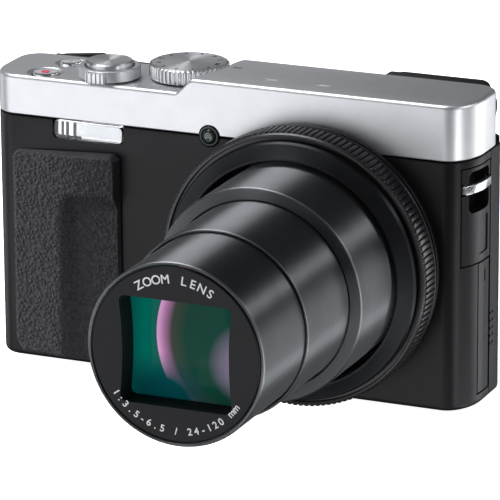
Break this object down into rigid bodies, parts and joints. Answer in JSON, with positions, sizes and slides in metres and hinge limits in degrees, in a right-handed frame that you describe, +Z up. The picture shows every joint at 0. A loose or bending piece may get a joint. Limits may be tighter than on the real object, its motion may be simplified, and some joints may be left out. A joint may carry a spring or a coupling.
{
  "type": "compact digital camera",
  "caption": "Compact travel zoom camera with telescoping lens extended, control ring, mode dial, zoom lever, tilting rear screen, viewfinder, battery door and grip.",
  "frame": {"origin": "middle of the flat base, 11 mm behind the front face of the case", "axes": "+X towards the lens end, right as seen from the front; -Y out of the lens; +Y out of the screen; +Z up"},
  "size_m": [0.1124, 0.099, 0.0684],
  "materials": {
    "case_black": "fine matt black moulded shell",
    "silver_top": "bead blasted, anodised silver",
    "satin_black": "satin black",
    "grip_rubber": "leather grain",
    "soft_rubber": "plain matt",
    "bright_steel": "bright",
    "socket_brass": "turned",
    "clear_window": "clear moulded",
    "coated_glass": "dark, with a coating",
    "screen_cover": "black display glass",
    "circuit_board": "green solder mask",
    "battery_wrap": "dark grey",
    "card_plastic": "blue"
  },
  "bodies": {
    "camera": {"front_case": "case_black", "rear_case": "case_black", "top_cover": "silver_top", "bottom_cover": "case_black", "tripod_socket": "socket_brass", "side_trim": "case_black", "strap_lug": "bright_steel", "usb_socket": "bright_steel", "video_socket": "bright_steel", "socket_board": "circuit_board", "speaker": "satin_black", "grip_pad": "grip_rubber", "thumb_rest": "soft_rubber", "flash_window": "clear_window", "flash_reflector": "bright_steel", "flash_tube": "clear_window", "flash_capacitor": "satin_black", "focus_lamp": "coated_glass", "lens_flange": "satin_black", "lens_bezel": "satin_black", "lens_barrel": "case_black", "rear_lens": "clear_window", "image_sensor": "coated_glass", "sensor_plate": "bright_steel", "main_board": "circuit_board", "control_board": "circuit_board", "chassis": "bright_steel", "zoom_motor": "bright_steel", "battery_holder": "case_black", "battery": "battery_wrap", "memory_card": "card_plastic", "screen_hinge": "bright_steel", "viewfinder_housing": "case_black", "eyecup": "soft_rubber", "eyepiece_lens": "clear_window", "viewfinder_display": "screen_cover"},
    "tube_rear": {"lens_tube_rear": "satin_black"},
    "tube_middle": {"lens_tube_middle": "satin_black", "zoom_lens": "coated_glass"},
    "tube_front": {"lens_tube_front": "satin_black", "nameplate": "satin_black", "front_lens": "coated_glass"},
    "ring": {"control_ring": "satin_black"},
    "mode_dial": {"mode_dial": "silver_top"},
    "zoom_lever": {"zoom_lever": "silver_top"},
    "shutter_button": {"shutter_button": "silver_top"},
    "power_button": {"power_button": "silver_top"},
    "record_button": {"record_button": "silver_top"},
    "rear_dial": {"rear_dial": "satin_black"},
    "set_button": {"set_button": "satin_black"},
    "playback_button": {"playback_button": "satin_black"},
    "delete_button": {"delete_button": "satin_black"},
    "view_button": {"view_button": "satin_black"},
    "screen": {"screen_panel": "case_black", "screen_glass": "screen_cover"},
    "battery_door": {"battery_door": "case_black"},
    "door_latch": {"door_latch": "satin_black"},
    "terminal_door": {"terminal_door": "case_black"},
    "diopter_dial": {"diopter_dial": "satin_black"}
  },
  "joints": [
    {"name": "lens_retract_rear", "type": "slide", "parent": "camera", "child": "tube_rear", "axis": [0, 1, 0], "range_m": [0, 0.0155]},
    {"name": "lens_retract_middle", "type": "slide", "parent": "tube_rear", "child": "tube_middle", "axis": [0, 1, 0], "range_m": [0, 0.02062]},
    {"name": "lens_retract_front", "type": "slide", "parent": "tube_middle", "child": "tube_front", "axis": [0, 1, 0], "range_m": [0, 0.02046]},
    {"name": "control_ring_turn", "type": "hinge", "parent": "camera", "child": "ring", "pos_m": [0.02, -0.01735, 0.031], "axis": [0, -1, 0], "continuous": true},
    {"name": "mode_dial_turn", "type": "hinge", "parent": "camera", "child": "mode_dial", "pos_m": [-0.0134, 0.0014, 0.06475], "axis": [0, 0, 1], "continuous": true},
    {"name": "zoom_lever_turn", "type": "hinge", "parent": "camera", "child": "zoom_lever", "pos_m": [-0.0295, -0.0048, 0.06475], "axis": [0, 0, 1], "range_deg": [-20, 20], "stiffness_Nm_per_rad": 0.01},
    {"name": "shutter_press", "type": "slide", "parent": "camera", "child": "shutter_button", "axis": [0, 0, -1], "range_m": [0, 0.0008], "stiffness_N_per_m": 500},
    {"name": "power_press", "type": "slide", "parent": "camera", "child": "power_button", "axis": [0, 0, -1], "range_m": [0, 0.0005], "stiffness_N_per_m": 500},
    {"name": "record_press", "type": "slide", "parent": "camera", "child": "record_button", "axis": [0, 0, -1], "range_m": [0, 0.0005], "stiffness_N_per_m": 500},
    {"name": "rear_dial_turn", "type": "hinge", "parent": "camera", "child": "rear_dial", "pos_m": [-0.04, 0.0122, 0.026], "axis": [0, 1, 0], "continuous": true},
    {"name": "set_press", "type": "slide", "parent": "camera", "child": "set_button", "axis": [0, -1, 0], "range_m": [0, 0.0005], "stiffness_N_per_m": 500},
    {"name": "playback_press", "type": "slide", "parent": "camera", "child": "playback_button", "axis": [0, -1, 0], "range_m": [0, 0.0004], "stiffness_N_per_m": 500},
    {"name": "delete_press", "type": "slide", "parent": "camera", "child": "delete_button", "axis": [0, -1, 0], "range_m": [0, 0.0004], "stiffness_N_per_m": 500},
    {"name": "view_press", "type": "slide", "parent": "camera", "child": "view_button", "axis": [0, -1, 0], "range_m": [0, 0.0004], "stiffness_N_per_m": 500},
    {"name": "screen_tilt", "type": "hinge", "parent": "camera", "child": "screen", "pos_m": [0.0145, 0.0135, 0.055], "axis": [1, 0, 0], "range_deg": [0, 90]},
    {"name": "battery_door_swing", "type": "hinge", "parent": "camera", "child": "battery_door", "pos_m": [-0.016, 0.0001, 0.0007], "axis": [0, -1, 0], "range_deg": [0, 95]},
    {"name": "door_latch_slide", "type": "slide", "parent": "battery_door", "child": "door_latch", "axis": [1, 0, 0], "range_m": [0, 0.003]},
    {"name": "terminal_door_swing", "type": "hinge", "parent": "camera", "child": "terminal_door", "pos_m": [0.0554, 0.0013, 0.0172], "axis": [0, 0, 1], "range_deg": [0, 95]},
    {"name": "diopter_turn", "type": "hinge", "parent": "camera", "child": "diopter_dial", "pos_m": [0.052, 0.0123, 0.0616], "axis": [1, 0, 0], "range_deg": [-120, 120]}
  ],
  "couplings": [
    {"joint": "lens_retract_middle", "follows": "lens_retract_rear", "ratio": 1.33},
    {"joint": "lens_retract_front", "follows": "lens_retract_rear", "ratio": 1.32}
  ]
}
